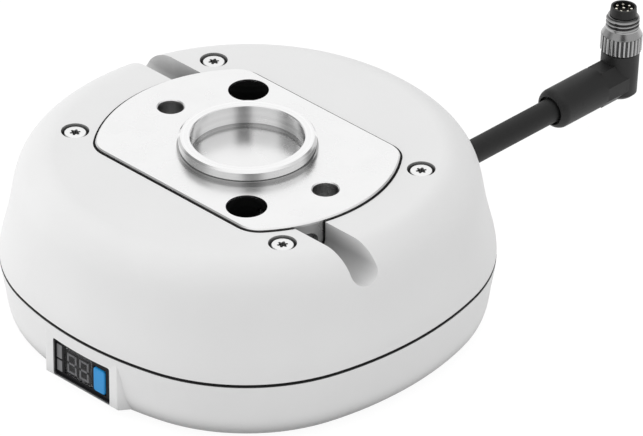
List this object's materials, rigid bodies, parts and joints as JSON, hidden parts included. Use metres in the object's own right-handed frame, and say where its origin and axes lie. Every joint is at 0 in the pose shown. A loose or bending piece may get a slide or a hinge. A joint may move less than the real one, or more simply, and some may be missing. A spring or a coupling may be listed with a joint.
{
  "type": "electric vacuum suction unit",
  "caption": "Round-cornered electric vacuum unit for a robot wrist: flange plate with centring ring and pin bores on top, display in front, cable with angled plug behind, suction port below.",
  "frame": {"origin": "centre of the flange face, at the foot of the centring ring", "axes": "+Z out of the flange face towards the robot, +X along the flange plate, the display at -Y and the cable at +Y"},
  "size_m": [0.1074, 0.1828, 0.0472],
  "materials": {
    "housing_white": "fine satin grain",
    "seal_black": "matt",
    "plate_metal": "satin, bead blasted",
    "ring_metal": "turned bright",
    "bush_dark": "black oxide",
    "set_screw_dark": "black oxide",
    "screw_bright": "plated",
    "bezel_charcoal": "satin",
    "lens_smoke": "smoked, clear polish",
    "digit_module": "matt",
    "digit_grey": "translucent, unlit",
    "lamp_grey": "translucent, unlit",
    "button_blue": "satin",
    "board_green": "solder mask",
    "part_black": "moulded",
    "post_steel": "turned",
    "base_metal": "anodised",
    "port_brass": "nickel free, machined",
    "filter_bronze": "sintered",
    "manifold_metal": "machined",
    "coil_copper": "enamelled wire",
    "pump_grey": "moulded",
    "diaphragm_rubber": "matt",
    "motor_steel": "plated",
    "cable_black": "smooth matt sheath",
    "plug_black": "moulded",
    "contact_gold": "gold plated",
    "collar_nickel": "nickel plated"
  },
  "bodies": {
    "unit": {"upper_housing": "housing_white", "lower_housing": "housing_white", "seam_gasket": "seal_black", "plate_seal": "seal_black", "flange_plate": "plate_metal", "centring_ring": "ring_metal", "pin_bushes": "bush_dark", "housing_screws": "screw_bright", "display_bezel": "bezel_charcoal", "display_lens": "lens_smoke", "digit_display": "digit_module", "digit_segments": "digit_grey", "led_windows": "lamp_grey", "button_switch": "part_black", "display_board": "board_green", "main_board": "board_green", "board_connector": "part_black", "pillars": "post_steel", "base_plate": "base_metal", "base_gasket": "seal_black", "base_screws": "screw_bright", "vacuum_port": "port_brass", "port_filter": "filter_bronze", "port_seal": "seal_black", "exhaust_filter": "filter_bronze", "manifold": "manifold_metal", "vacuum_sensor": "part_black", "vent_valve": "manifold_metal", "valve_coil": "coil_copper", "pump_head": "pump_grey", "diaphragm": "diaphragm_rubber", "connecting_rod": "part_black", "pump_block": "pump_grey", "motor_stator": "coil_copper", "cable_gland": "seal_black", "cable": "cable_black", "plug_body": "plug_black", "plug_insert": "plug_black", "plug_pins": "contact_gold"},
    "button": {"set_button": "button_blue"},
    "left_lock": {"lock_screw_left": "set_screw_dark"},
    "right_lock": {"lock_screw_right": "set_screw_dark"},
    "rotor": {"motor_rotor": "motor_steel"},
    "collar": {"plug_collar": "collar_nickel"}
  },
  "joints": [
    {"name": "button_press", "type": "slide", "parent": "unit", "child": "button", "axis": [0, 1, 0], "range_m": [0, 0.0004], "stiffness_N_per_m": 1500, "springref_m": -0.0004},
    {"name": "left_lock_turn_in", "type": "slide", "parent": "unit", "child": "left_lock", "axis": [1, 0, 0], "range_m": [0, 0.0042]},
    {"name": "right_lock_turn_in", "type": "slide", "parent": "unit", "child": "right_lock", "axis": [-1, 0, 0], "range_m": [0, 0.0042]},
    {"name": "motor_spin", "type": "hinge", "parent": "unit", "child": "rotor", "pos_m": [0.033, 0, -0.015], "axis": [0, 0, 1], "continuous": true},
    {"name": "collar_turn", "type": "hinge", "parent": "unit", "child": "collar", "pos_m": [0, 0.1234, -0.03355], "axis": [0, 0.0698, 0.9976], "continuous": true}
  ]
}
